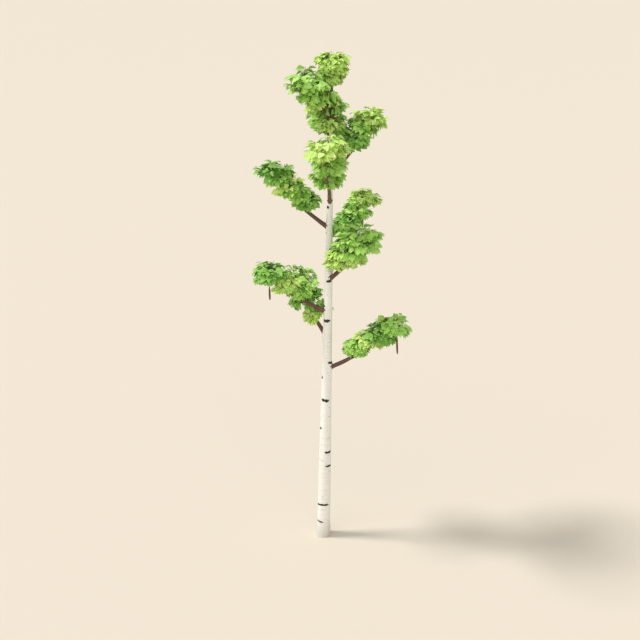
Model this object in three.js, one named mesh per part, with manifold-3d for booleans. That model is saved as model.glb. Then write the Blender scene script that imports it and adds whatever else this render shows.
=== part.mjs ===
// A young silver birch: one white trunk, slim brown boughs, and a mass of leafy twigs on each bough.
import * as THREE from 'three';
import { mergeVertices } from 'three/addons/utils/BufferGeometryUtils.js';
import Module from 'manifold-3d';

const wasm = await Module();
wasm.setup();

// Lengths are millimetres and angles are degrees.
const gap = 0.3;

const trunk = {
  height: 2800,
  footDiameter: 87,
  tipDiameter: 17,
  flare: 4,
  flareFall: 60,
  lean: 44,
  leanBack: 11,
  bow: 4,
  sides: 16,
  rings: 12,
  ringCrowding: 1.7,
};

// Each bough leaves the trunk at a height and azimuth and ends at a reach and rise from there.
// The first part of it is bare, and sprays of leaves stand along the rest.
const boughs = [
  { at: 'right_low', height: 1134, azimuth: -13, reach: 426, rise: 290, bare: 0.34, sprays: 4, spread: 0.96 },
  { at: 'left_back', height: 1335, azimuth: 138, reach: 258, rise: 306, bare: 0.2, sprays: 3, spread: 1.12 },
  { at: 'left_mid', height: 1495, azimuth: 191, reach: 378, rise: 243, bare: 0.37, sprays: 3, spread: 0.94 },
  { at: 'right_front', height: 1695, azimuth: -46, reach: 286, rise: 282, bare: 0.3, sprays: 4, spread: 1.2 },
  { at: 'right_back', height: 1871, azimuth: 46, reach: 329, rise: 252, bare: 0.21, sprays: 4, spread: 0.88 },
  { at: 'left_up', height: 2005, azimuth: 173, reach: 345, rise: 311, bare: 0.31, sprays: 4, spread: 1 },
  { at: 'front', height: 2157, azimuth: -92, reach: 467, rise: 356, bare: 0.33, sprays: 3, spread: 1.14 },
  { at: 'right_up', height: 2308, azimuth: 36, reach: 297, rise: 295, bare: 0.47, sprays: 3, spread: 1 },
  { at: 'top_back', height: 2457, azimuth: 100, reach: 190, rise: 213, bare: 0.33, sprays: 3, spread: 1.14 },
  { at: 'top_left', height: 2634, azimuth: 218, reach: 172, rise: 195, bare: 0.21, sprays: 3, spread: 1.14 },
];
const leader = {
  at: 'leader',
  height: trunk.height,
  azimuth: -71,
  reach: 18,
  rise: 162,
  bare: 0,
  sprays: 3,
  spread: 0.84,
};

const bough = {
  shareOfTrunk: 0.68,
  thinnest: 13,
  thickest: 26,
  tipDiameter: 11,
  collar: 0.3,
  collarFall: 0.07,
  sag: 0.36,
  sagAt: 0.5,
  sides: 8,
  rings: 4,
};

// The stem of a mass goes on from the end of its bough.
const stem = { sides: 5, rings: 6 };

// A spray is a flat cloud of leaves that stands above the stem, wider toward the tip of its bough.
const spray = {
  innerRadius: 84,
  outerRadius: 111,
  flatness: 0.68,
  bareLead: 0.085,
  innerLift: 63,
  outerLift: 30,
  sideStep: 10,
  leaderLead: 0.42,
  last: 0.93,
};

const twig = {
  perSpray: 4,
  reach: 0.6,
  lowest: 5,
  highest: 60,
  startDiameter: 8,
  endDiameter: 7,
  forward: 0.5,
  spacing: 15,
  tries: 12,
  seedStep: 0.3,
  sides: 3,
};

// Leaf tips are spread evenly over a spray, and each leaf grows from the twig that suits its length best.
const leaf = {
  perSpray: 17,
  longest: 86,
  shortest: 45,
  droop: 0.35,
  width: 0.74,
  widestAt: 0.52,
  thickness: 0.04,
  fold: 0.12,
  firstAt: 0.35,
  lastAt: 0.985,
  places: 9,
  placesTried: 8,
  roll: 75,
  tries: 10,
  shrink: 0.84,
  sizes: 3,
  seedStep: 0.37,
  overhang: 1.02,
};

// Hanging catkins, by the bough that carries one. Each ends at a drop below its place on the stem.
const catkin = {
  diameter: 12,
  stalk: 5,
  taper: 0.7,
  bluntness: 0.4,
  sides: 6,
  rings: 6,
  on: {
    right_low: { length: 130, share: 0.995, drop: 160 },
    left_mid: { length: 86, share: 0.93, drop: 128 },
    right_back: { length: 72, share: 0.9, drop: 128 },
    front: { length: 74, share: 0.9, drop: 128 },
    top_back: { length: 70, share: 0.9, drop: 128 },
  },
};

// How far twigs and leaves keep from limbs, from the space of another mass, and from each other.
const clear = { limb: 8, mass: 4, twig: 9, leaf: 0.8 };

// Straight steps into which curves are cut to measure those distances.
const steps = { trunk: 14, bough: 4, stem: 20 };

const goldenAngle = 137.508;

const finishes = {
  bark: { color: 0xf2efe2, roughness: 0.7, metalness: 0 },
  brownBark: { color: 0x61463c, roughness: 0.6, metalness: 0 },
  light: { color: 0xa8d45c, roughness: 0.5, metalness: 0 },
  mid: { color: 0x7db246, roughness: 0.5, metalness: 0 },
  dark: { color: 0x55933c, roughness: 0.5, metalness: 0 },
};
const foliageShades = ['mid', 'dark', 'light'];

const up = new THREE.Vector3(0, 0, 1);

const radians = (degrees) => THREE.MathUtils.degToRad(degrees);
const lerp = THREE.MathUtils.lerp;

// The same seed always gives the same number between 0 and 1.
function chance(seed) {
  const value = Math.sin(seed * 12.9898) * 43758.5453;
  return value - Math.floor(value);
}

function compass(azimuth) {
  return new THREE.Vector3(Math.cos(radians(azimuth)), Math.sin(radians(azimuth)), 0);
}

function trunkCentre(z) {
  const share = z / trunk.height;
  const x = trunk.lean * share + trunk.bow * Math.sin(Math.PI * share);
  return new THREE.Vector3(x, trunk.leanBack * share, z);
}

function trunkRadius(z) {
  const diameter = lerp(trunk.footDiameter, trunk.tipDiameter, z / trunk.height);
  return diameter / 2 + trunk.flare * Math.exp(-z / trunk.flareFall);
}

function boughCurve(row) {
  const start = trunkCentre(row.height);
  const out = compass(row.azimuth).multiplyScalar(row.reach);
  const middle = start.clone().addScaledVector(up, row.rise * bough.sag);
  middle.addScaledVector(out, row === leader ? 0 : bough.sagAt);
  const tip = start.clone().add(out).addScaledVector(up, row.rise);
  return new THREE.QuadraticBezierCurve3(start, middle, tip);
}

function boughRadius(row, share) {
  if (row === leader) {
    return lerp(trunk.tipDiameter, bough.tipDiameter, share) / 2;
  }
  const wanted = 2 * trunkRadius(row.height) * bough.shareOfTrunk;
  const base = THREE.MathUtils.clamp(wanted, bough.thinnest, bough.thickest);
  const collar = 1 + bough.collar * Math.exp(-share / bough.collarFall);
  return lerp(base, bough.tipDiameter, share) / 2 * collar;
}

// Bends an upright closed cylinder so that its axis follows a curve between two shares of it.
function bentRod(curve, from, to, radiusAt, sides, rings, across) {
  const rod = new THREE.CylinderGeometry(1, 1, 1, sides, rings);
  rod.deleteAttribute('normal');
  rod.deleteAttribute('uv');
  const place = rod.getAttribute('position');
  for (let i = 0; i < place.count; i += 1) {
    const share = lerp(from, to, place.getY(i) + 0.5);
    const along = curve.getTangent(share);
    const side = across.clone().addScaledVector(along, -across.dot(along)).normalize();
    const other = side.clone().cross(along);
    const radius = radiusAt(share);
    const point = curve.getPoint(share);
    point.addScaledVector(side, place.getX(i) * radius);
    point.addScaledVector(other, place.getZ(i) * radius);
    place.setXYZ(i, point.x, point.y, point.z);
  }
  return mergeVertices(rod);
}

function solidOf(geometry) {
  const positions = geometry.getAttribute('position').array;
  const triangles = geometry.getIndex().array;
  const mesh = new wasm.Mesh({
    numProp: 3,
    vertProperties: new Float32Array(positions),
    triVerts: new Uint32Array(triangles),
  });
  return new wasm.Manifold(mesh);
}

function geometryOf(solid) {
  const mesh = solid.getMesh();
  const geometry = new THREE.BufferGeometry();
  geometry.setAttribute('position', new THREE.BufferAttribute(mesh.vertProperties, 3));
  geometry.setIndex(new THREE.BufferAttribute(mesh.triVerts, 1));
  geometry.computeVertexNormals();
  return geometry;
}

// The trunk is a stack of level rings, closest at its flared foot, which is a flat cut.
// It can be made fuller all round, for cutting what fits against it.
function trunkGeometry(extra) {
  const stack = new THREE.CylinderGeometry(1, 1, 1, trunk.sides, trunk.rings);
  stack.deleteAttribute('normal');
  stack.deleteAttribute('uv');
  const place = stack.getAttribute('position');
  for (let i = 0; i < place.count; i += 1) {
    const z = trunk.height * (place.getY(i) + 0.5) ** trunk.ringCrowding;
    const centre = trunkCentre(z);
    const radius = trunkRadius(z) + extra;
    place.setXYZ(i, centre.x + place.getZ(i) * radius, centre.y + place.getX(i) * radius, z);
  }
  return mergeVertices(stack);
}

// A limb runs from inside the trunk to where its foliage starts, and is cut to the trunk's side.
function limbGeometry(row, fullerTrunk) {
  const radiusAt = (share) => boughRadius(row, share);
  const across = compass(row.azimuth + 90);
  const rod = bentRod(boughCurve(row), 0, row.bare, radiusAt, bough.sides, bough.rings, across);
  const pieces = solidOf(rod).subtract(fullerTrunk).decompose();
  pieces.sort((a, b) => b.volume() - a.volume());
  return geometryOf(pieces[0]);
}

function stemPoints(row) {
  const curve = boughCurve(row);
  return Array.from({ length: steps.stem + 1 }, (_, i) => curve.getPoint(lerp(row.bare, 1, i / steps.stem)));
}

// Shortest distance between the straight lines from a to b and from c to d.
function segmentDistance(a, b, c, d) {
  const first = b.clone().sub(a);
  const second = d.clone().sub(c);
  const between = a.clone().sub(c);
  const aa = first.dot(first);
  const bb = first.dot(second);
  const cc = second.dot(second);
  const dd = first.dot(between);
  const ee = second.dot(between);
  const denominator = aa * cc - bb * bb;
  const clamp = (value) => THREE.MathUtils.clamp(value, 0, 1);
  let s = denominator > 0 ? clamp((bb * ee - cc * dd) / denominator) : 0;
  const t = cc > 0 ? clamp((bb * s + ee) / cc) : 0;
  s = aa > 0 ? clamp((bb * t - dd) / aa) : 0;
  return between.addScaledVector(first, s).addScaledVector(second, -t).length();
}

function distanceToLine(point, line) {
  let nearest = Infinity;
  for (let i = 0; i + 1 < line.length; i += 1) {
    nearest = Math.min(nearest, segmentDistance(point, point, line[i], line[i + 1]));
  }
  return nearest;
}

// Trunk and limbs as thick lines that foliage keeps clear of.
function thickLine(points, radii) {
  return points.slice(1).map((to, i) => ({ from: points[i], to, radius: radii[i] }));
}

function limbLines() {
  const heights = Array.from({ length: steps.trunk + 1 }, (_, i) => (trunk.height * i) / steps.trunk);
  const lines = thickLine(heights.map(trunkCentre), heights.map(trunkRadius));
  for (const row of boughs) {
    const shares = Array.from({ length: steps.bough + 1 }, (_, i) => (row.bare * i) / steps.bough);
    const curve = boughCurve(row);
    lines.push(...thickLine(shares.map((t) => curve.getPoint(t)), shares.map((t) => boughRadius(row, t))));
  }
  return lines;
}

const masses = [...boughs, leader];
const thickLines = limbLines();
const stemLines = new Map(masses.map((row) => [row, stemPoints(row)]));

function clearOfLimbs(segments, margin) {
  return segments.every(([a, b]) => thickLines.every((line) => (
    segmentDistance(a, b, line.from, line.to) > line.radius + margin)));
}

// A mass owns the points that are nearer to its own stem than to any other.
function ownedBy(row, point) {
  const own = distanceToLine(point, stemLines.get(row)) + clear.mass;
  return masses.every((other) => other === row || distanceToLine(point, stemLines.get(other)) > own);
}

function spraysOf(row) {
  const curve = boughCurve(row);
  const sideways = compass(row.azimuth + 90);
  const first = row === leader ? spray.leaderLead : row.bare + spray.bareLead;
  return Array.from({ length: row.sprays }, (_, i) => {
    const order = i / (row.sprays - 1);
    const share = lerp(first, spray.last, order);
    const lift = row === leader ? 0 : lerp(spray.innerLift, spray.outerLift, share);
    const side = spray.sideStep * (i % 2 === 0 ? -1 : 1) * (1 - order);
    const centre = curve.getPoint(share).addScaledVector(up, lift).addScaledVector(sideways, side);
    const radius = lerp(spray.innerRadius, spray.outerRadius, order) * row.spread;
    return { share, centre, radius, height: radius * spray.flatness };
  });
}

function insideSpray(cloud, point) {
  const offset = point.clone().sub(cloud.centre);
  const level = Math.hypot(offset.x, offset.y) / cloud.radius;
  return Math.hypot(level, offset.z / cloud.height) <= leaf.overhang;
}

// A twig leaves the stem at an easy angle, a little before the place nearest its end, which is in its spray.
function twigLine(row, cloud, order, seed) {
  const azimuth = goldenAngle * order + 360 * chance(seed);
  const rise = radians(lerp(twig.lowest, twig.highest, order / (twig.perSpray - 1)));
  const target = cloud.centre.clone();
  target.addScaledVector(compass(azimuth), Math.cos(rise) * twig.reach * cloud.radius);
  target.addScaledVector(up, Math.sin(rise) * twig.reach * cloud.height);
  const curve = boughCurve(row);
  const distances = stemLines.get(row).map((point) => point.distanceTo(target));
  const nearest = Math.min(...distances);
  const nearestShare = lerp(row.bare, 1, distances.indexOf(nearest) / (distances.length - 1));
  const length = curve.getLength();
  const share = nearestShare - twig.forward * nearest / length;
  const latest = 1 - twig.spacing * (order + 0.5) / length;
  const earliest = row.bare + twig.spacing * (order + 1) / length;
  const start = curve.getPoint(THREE.MathUtils.clamp(share, earliest, Math.max(latest, earliest)));
  return new THREE.LineCurve3(start, target);
}

function twigGeometry(line) {
  const radiusAt = (share) => lerp(twig.startDiameter, twig.endDiameter, share) / 2;
  const across = line.v2.clone().sub(line.v1).cross(up).normalize();
  return bentRod(line, 0, 1, radiusAt, twig.sides, 1, across);
}

// A folded kite: root, tip, two widest points, and a ridge above and below the midrib.
function leafGeometry(root, along, normal, length) {
  const kite = new THREE.OctahedronGeometry(1, 0);
  kite.deleteAttribute('normal');
  kite.deleteAttribute('uv');
  const side = normal.clone().cross(along);
  const place = kite.getAttribute('position');
  for (let i = 0; i < place.count; i += 1) {
    const x = place.getX(i);
    const y = place.getY(i);
    const z = place.getZ(i);
    const forward = lerp(leaf.widestAt * (1 + Math.min(x, 0)), 1, Math.max(x, 0));
    const point = root.clone().addScaledVector(along, length * forward);
    point.addScaledVector(side, y * length * leaf.width / 2);
    point.addScaledVector(normal, z * length * leaf.thickness / 2 + Math.abs(y) * length * leaf.fold);
    place.setXYZ(i, point.x, point.y, point.z);
  }
  return mergeVertices(kite);
}

function cornersOf(geometry) {
  const place = geometry.getAttribute('position');
  return Array.from({ length: place.count }, (_, i) => new THREE.Vector3().fromBufferAttribute(place, i));
}

function everyPair(points) {
  return points.flatMap((a, i) => points.slice(i + 1).map((b) => [a, b]));
}

// Tip of one leaf, on an even spiral over the spray's surface.
function leafTip(cloud, order, seed) {
  const rise = 1 - (2 * (order + 0.5)) / leaf.perSpray;
  const tip = cloud.centre.clone().addScaledVector(up, rise * cloud.height);
  const spin = goldenAngle * order + 360 * chance(seed);
  return tip.addScaledVector(compass(spin), Math.sqrt(1 - rise * rise) * cloud.radius);
}

// Free places on the spray's twigs, those first from which a leaf to this tip hangs at nearly full length.
function leafPlaces(tip, twigs) {
  const places = twigs.flatMap((one) => Array.from({ length: leaf.places }, (_, i) => {
    const root = one.line.getPoint(lerp(leaf.firstAt, leaf.lastAt, i / (leaf.places - 1)));
    const tooLow = Math.max(0, tip.z + leaf.longest * leaf.droop - root.z);
    return { one, i, root, misfit: Math.abs(root.distanceTo(tip) - leaf.longest) + tooLow };
  }));
  const free = places.filter((place) => !place.one.used.has(place.i));
  return free.sort((a, b) => a.misfit - b.misfit).slice(0, leaf.placesTried);
}

// A leaf that would leave its space, or touch a limb, twig or leaf, is rolled and shortened, then skipped.
function growLeaf(row, cloud, tip, root, seed, others) {
  const along = tip.clone().sub(root).normalize();
  const level = new THREE.Vector3(along.y, -along.x, 0).normalize();
  const face = level.clone().cross(along);
  const fullLength = Math.min(tip.distanceTo(root), leaf.longest);
  for (let attempt = 0; attempt < leaf.tries * leaf.sizes; attempt += 1) {
    const length = fullLength * leaf.shrink ** Math.floor(attempt / leaf.tries);
    const roll = radians(leaf.roll) * (2 * chance(seed + attempt * leaf.seedStep) - 1);
    const geometry = leafGeometry(root, along, face.clone().applyAxisAngle(along, roll), length);
    const corners = cornersOf(geometry);
    const inside = corners.every((point) => insideSpray(cloud, point) && ownedBy(row, point));
    if (length > leaf.shortest && inside && clearOfLimbs(everyPair(corners), clear.limb)) {
      const solid = solidOf(geometry);
      if (others.every((other) => other.minGap(solid, clear.leaf) >= clear.leaf)) {
        return solid;
      }
    }
  }
  return null;
}

function leavesOf(row, clouds, twigs, fixed, seed) {
  const leaves = [];
  clouds.forEach((cloud, i) => {
    const near = twigs.filter((one) => one.cloud === i);
    for (let order = 0; order < leaf.perSpray; order += 1) {
      const tip = leafTip(cloud, order, seed * 5 + i);
      const leafSeed = seed * 37 + i * 11 + order;
      for (const { one, i: index, root } of leafPlaces(tip, near)) {
        const otherTwigs = twigs.filter((other) => other !== one).map((other) => other.solid);
        const grown = growLeaf(row, cloud, tip, root, leafSeed, [...fixed, ...otherTwigs, ...leaves]);
        if (grown) {
          one.used.add(index);
          leaves.push(grown);
          break;
        }
      }
    }
  });
  return leaves;
}

// A slim cone of scales that hangs from the stem on a stalk.
function catkinGeometry(top, hung) {
  const profile = [new THREE.Vector2(0, 0)];
  for (let i = 1; i < catkin.rings; i += 1) {
    const share = i / catkin.rings;
    const fullness = Math.sin(Math.PI * share ** catkin.taper) ** catkin.bluntness;
    profile.push(new THREE.Vector2((catkin.diameter / 2) * fullness, hung.length * share));
  }
  profile.push(new THREE.Vector2(catkin.stalk / 2, hung.length));
  profile.push(new THREE.Vector2(catkin.stalk / 2, hung.drop + catkin.stalk));
  profile.push(new THREE.Vector2(0, hung.drop + catkin.stalk));
  const cone = new THREE.LatheGeometry(profile, catkin.sides);
  cone.deleteAttribute('normal');
  cone.deleteAttribute('uv');
  cone.rotateX(Math.PI / 2);
  cone.translate(top.x, top.y, top.z - hung.drop);
  return mergeVertices(cone);
}

// A twig that would leave its mass's space, or touch a limb or an earlier twig, is turned, then skipped.
function twigFits(row, line, others) {
  const ends = [line.v1, line.v2];
  const free = others.every((other) => segmentDistance(...ends, other.line.v1, other.line.v2) > clear.twig);
  return free && ends.every((point) => ownedBy(row, point)) && clearOfLimbs([ends], clear.limb);
}

function twigsOf(row, clouds, seed) {
  const kept = [];
  for (let i = clouds.length - 1; i >= 0; i -= 1) {
    for (let order = 0; order < twig.perSpray; order += 1) {
      const twigSeed = seed * 101 + i * 23 + order * 3;
      const tries = Array.from({ length: twig.tries }, (_, k) => (
        twigLine(row, clouds[i], order, twigSeed + k * twig.seedStep)));
      const line = tries.find((candidate) => twigFits(row, candidate, kept));
      if (line) {
        kept.push({ cloud: i, line, used: new Set(), solid: solidOf(twigGeometry(line)) });
      }
    }
  }
  return kept;
}

// One stem, the twigs of each spray, and the leaves on those twigs, fused into one solid.
function foliageGeometry(row, seed) {
  const curve = boughCurve(row);
  const radiusAt = (share) => boughRadius(row, share);
  const start = row.bare + gap / curve.getLength();
  const rod = bentRod(curve, start, 1, radiusAt, stem.sides, stem.rings, compass(row.azimuth + 90));
  const fixed = [solidOf(rod)];
  const hung = catkin.on[row.at];
  if (hung) {
    fixed.push(solidOf(catkinGeometry(curve.getPoint(hung.share), hung)));
  }
  const clouds = spraysOf(row);
  const twigs = twigsOf(row, clouds, seed);
  const leaves = leavesOf(row, clouds, twigs, fixed, seed);
  const bodies = wasm.Manifold.union([...fixed, ...twigs.map((one) => one.solid), ...leaves]).decompose();
  bodies.sort((a, b) => b.volume() - a.volume());
  return geometryOf(bodies[0]);
}

function named(name, geometry, finish) {
  const mesh = new THREE.Mesh(geometry, new THREE.MeshStandardMaterial(finishes[finish]));
  mesh.name = name;
  return mesh;
}

const sapling = new THREE.Group();
const fullerTrunk = solidOf(trunkGeometry(gap));
sapling.add(named('trunk', trunkGeometry(0), 'bark'));
for (const row of boughs) {
  sapling.add(named(`bough_${row.at}`, limbGeometry(row, fullerTrunk), 'brownBark'));
}
masses.forEach((row, i) => {
  const shade = foliageShades[i % foliageShades.length];
  sapling.add(named(`foliage_${row.at}`, foliageGeometry(row, i + 1), shade));
});

export default sapling;
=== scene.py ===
import math
import bpy
import numpy as np
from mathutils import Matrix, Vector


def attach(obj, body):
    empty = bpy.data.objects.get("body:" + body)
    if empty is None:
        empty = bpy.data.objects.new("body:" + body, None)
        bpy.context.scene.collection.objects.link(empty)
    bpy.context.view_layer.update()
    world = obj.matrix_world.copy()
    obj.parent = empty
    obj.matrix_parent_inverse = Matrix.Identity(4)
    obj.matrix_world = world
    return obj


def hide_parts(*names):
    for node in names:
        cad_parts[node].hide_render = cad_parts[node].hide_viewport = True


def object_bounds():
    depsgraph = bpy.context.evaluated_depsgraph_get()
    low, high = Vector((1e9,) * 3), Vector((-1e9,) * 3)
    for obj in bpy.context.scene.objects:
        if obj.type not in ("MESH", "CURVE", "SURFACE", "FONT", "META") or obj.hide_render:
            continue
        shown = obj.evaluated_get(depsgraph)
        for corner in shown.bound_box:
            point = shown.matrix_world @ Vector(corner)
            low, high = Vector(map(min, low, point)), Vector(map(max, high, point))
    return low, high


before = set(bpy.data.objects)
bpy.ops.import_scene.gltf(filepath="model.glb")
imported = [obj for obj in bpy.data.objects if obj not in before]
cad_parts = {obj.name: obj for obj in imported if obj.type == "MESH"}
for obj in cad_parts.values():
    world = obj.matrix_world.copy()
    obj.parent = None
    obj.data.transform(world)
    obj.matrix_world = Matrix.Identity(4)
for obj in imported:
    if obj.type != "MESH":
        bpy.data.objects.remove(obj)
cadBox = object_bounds()
print("frame:", len(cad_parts), "solids")

# Lengths are metres and angles are degrees.
view = dict(fieldOfView=35, pitch=18, distance=6.0762, aim=(-0.02057, 0, 1.44623), sensor=36)


def addCamera():
    pitch = math.radians(view["pitch"])
    aimX, aimY, aimZ = view["aim"]
    data = bpy.data.cameras.new("camera")
    data.sensor_width = view["sensor"]
    data.lens = view["sensor"] / 2 / math.tan(math.radians(view["fieldOfView"] / 2))
    camera = bpy.data.objects.new("camera", data)
    camera.location = (
        aimX,
        aimY - view["distance"] * math.cos(pitch),
        aimZ + view["distance"] * math.sin(pitch),
    )
    camera.rotation_euler = (math.pi / 2 - pitch, 0, 0)
    bpy.context.scene.collection.objects.link(camera)
    bpy.context.scene.camera = camera


addCamera()
print("camera set")

# Small sums that every piece uses.
upward = np.array((0.0, 0.0, 1.0))
east = np.array((1.0, 0.0, 0.0))
fullTurn = 2 * math.pi
goldenAngle = 137.508
hashPace = 12.9898
hashSize = 43758.5453
mostTurns = 6  # of a wave round a limb
tiny = 1e-12


def chance(seed):  # the same seed always gives the same number between 0 and 1
    value = np.sin(np.asarray(seed, float) * hashPace) * hashSize
    return value - np.floor(value)


def swing(seed):  # the same between -1 and 1
    return 2 * chance(seed) - 1


def mix(first, last, share):
    return first + (last - first) * share


def between(limits, seed):  # the seed's own number between two limits
    return mix(*limits, chance(seed))


def step(low, high, value):  # 0 below low, 1 above high, an S between them
    share = np.clip((value - low) / (high - low), 0, 1)
    return share * share * (3 - 2 * share)


def unit(arrow):  # the same direction, 1 long
    return arrow / np.maximum(np.linalg.norm(arrow, axis=-1, keepdims=True), tiny)


def weighted(weights, *parts):
    return sum(weight * part for weight, part in zip(weights, parts))


def blend(weights, *arrows):  # the direction of a weighted sum of arrows
    return unit(weighted(weights, *arrows))


def squareTo(along, arrow):  # the direction of what is left of an arrow without its part along another
    return unit(arrow - (arrow * along).sum(-1, keepdims=True) * along)


def sideways(ahead, order):  # level and square to a direction, on one side and the other in turn
    return unit(np.cross(ahead, upward)) * np.where(order % 2 == 0, 1, -1)[:, None]


def compass(azimuth):  # the level direction (cos, sin, 0)
    angle = np.radians(azimuth)
    return np.stack((np.cos(angle), np.sin(angle), np.zeros_like(angle)), -1)


def turnFrom(azimuth, angle):  # how far an angle has turned from an azimuth, from -pi to pi
    return (angle - math.radians(azimuth) + math.pi) % fullTurn - math.pi


def anglesRound(sides):
    return fullTurn * np.arange(sides) / sides


def arc(path, share):  # a path is three points: the curve from first to last leans toward the second
    start, middle, end = np.moveaxis(path, -2, 0)
    t = share[..., None]
    return start * (1 - t) ** 2 + middle * (2 * t * (1 - t)) + end * t * t


def arcSlope(path, share):  # the direction of that curve
    start, middle, end = np.moveaxis(path, -2, 0)
    t = share[..., None]
    return unit((middle - start) * (1 - t) + (end - middle) * t)


def only(keep, **grown):  # the rows that are kept of several arrays
    return {key: rows[keep] for key, rows in grown.items()}


def ripple(angle, z, waves, low, high, seed):
    # a sum of waves that close round a limb, each with its own turns, pitch and phase
    total = np.zeros(np.broadcast(angle, z).shape)
    for k in range(waves):
        turns = 1 + int(chance(seed + k * 3.1) * mostTurns)
        pitch = mix(low, high, chance(seed + k * 5.7))
        phase = fullTurn * chance(seed + k * 9.3)
        total = total + np.sin(turns * angle + z * pitch + phase)
    return total / math.sqrt(waves)


# Meshes.
nearUpright = 0.05  # a path that leans less than this has its profile turned to the east


def tubeFaces(rings, sides):
    # Two triangles in each cell of the grid of rings and sides, and a fan to the point that closes
    # each end. A corner's place is its share of the way round and its share of the way along.
    i, j = np.meshgrid(np.arange(rings - 1), np.arange(sides), indexing="ij")
    i = i[..., None] + np.array((0, 0, 1, 0, 1, 1))
    j = j[..., None] + np.array((0, 1, 1, 0, 1, 0))
    wall = (i * sides + j % sides).reshape(-1, 3)
    wallPlaces = np.stack((j / sides, i / (rings - 1)), -1).reshape(-1, 3, 2)
    k = np.arange(sides)[:, None]
    nextK, pole, last = (k + 1) % sides, np.full_like(k, rings * sides), (rings - 1) * sides
    foot = np.hstack((pole, nextK, k))
    head = np.hstack((pole + 1, last + k, last + nextK))
    inner = 0.5 / rings  # the closing points lie a little inside the map, so no face is flat there
    footPlaces = np.stack(((k + np.array((0.5, 1, 0))) / sides, 0 * k + np.array((inner, 0, 0))), -1)
    headPlaces = np.stack(((k + np.array((0.5, 0, 1))) / sides, 0 * k + np.array((1 - inner, 1, 1))), -1)
    return np.concatenate((wall, foot, head)), np.concatenate((wallPlaces, footPlaces, headPlaces))


def tubes(centres, radii, sides, across=None, along=None, flat=1.0):
    # A round profile carried along many paths at once, with radii for all or for each of them:
    # centre + radius * (cos a * across + flat * sin a * the direction square to both).
    count, rings = centres.shape[:2]
    if along is None:
        along = unit(np.gradient(centres, axis=1))
    if across is None:
        level = np.cross(unit(centres[:, -1] - centres[:, 0]), upward)
        upright = np.linalg.norm(level, axis=-1, keepdims=True) < nearUpright
        across = np.where(upright, east, level)[:, None]
    side = squareTo(along, across)
    other = np.cross(along, side)
    angle = anglesRound(sides)[:, None]
    turn = np.cos(angle) * side[:, :, None] + flat * np.sin(angle) * other[:, :, None]
    wide = np.broadcast_to(radii if radii.ndim == 3 else radii[..., None], (count, rings, sides))
    skin = centres[:, :, None] + wide[..., None] * turn
    points = np.concatenate((skin.reshape(count, -1, 3), centres[:, [0, -1]]), 1)
    faces, places = tubeFaces(rings, sides)
    shift = np.arange(count)[:, None, None] * points.shape[1]
    return dict(
        points=points.reshape(-1, 3),
        faces=(faces[None] + shift).reshape(-1, 3),
        places=np.tile(places, (count, 1, 1)),
        tube=np.repeat(np.arange(count), len(faces)),
    )


def joined(shells):  # several sets of tubes as one
    shifts = np.cumsum([0] + [len(shell["points"]) for shell in shells[:-1]])
    return dict(
        points=np.concatenate([shell["points"] for shell in shells]),
        faces=np.concatenate([shell["faces"] + shift for shell, shift in zip(shells, shifts)]),
        places=np.concatenate([shell["places"] for shell in shells]),
    )


def cellMap(places, column, columns, level=0, levels=1, margin=(0.0, 0.0)):
    # the baked map is cut into cells, and the places of a piece fill one of them up to its margin
    corner = np.stack(np.broadcast_arrays(column, level), -1)[..., None, :]
    edge = np.array(margin)
    return (corner + edge + (1 - 2 * edge) * places) / np.array((columns, levels))


def fill(holder, key, values, kind=np.float32):
    holder.foreach_set(key, np.ascontiguousarray(values, kind).ravel())


def addPiece(name, shell, finishes, worn=None, maps=None, values=None, crease=None):
    # worn is each face's finish, maps hold a place per corner, values one number per point,
    # and an edge between two points of crease is sharp
    points, faces = shell["points"], shell["faces"]
    mesh = bpy.data.meshes.new(name)
    mesh.vertices.add(len(points))
    mesh.loops.add(faces.size)
    mesh.polygons.add(len(faces))
    fill(mesh.vertices, "co", points)
    fill(mesh.loops, "vertex_index", faces, np.int32)
    fill(mesh.polygons, "loop_start", np.arange(0, faces.size, 3), np.int32)
    fill(mesh.polygons, "use_smooth", np.ones(len(faces)), bool)
    for finish in finishes:
        mesh.materials.append(finish)
    if worn is not None:
        fill(mesh.polygons, "material_index", worn, np.int32)
    mesh.update(calc_edges=True)
    for key, places in (maps or {}).items():
        fill(mesh.uv_layers.new(name=key).data, "uv", places)
    for key, numbers in (values or {}).items():
        fill(mesh.attributes.new(key, "FLOAT", "POINT").data, "value", numbers)
    if crease is not None:
        ends = np.zeros(len(mesh.edges) * 2, np.int32)
        mesh.edges.foreach_get("vertices", ends)
        fill(mesh.edges, "use_edge_sharp", crease[ends.reshape(-1, 2)].all(1), bool)
    piece = bpy.data.objects.new(name, mesh)
    bpy.context.scene.collection.objects.link(piece)
    print(name, len(faces), "triangles")
    return piece


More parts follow.
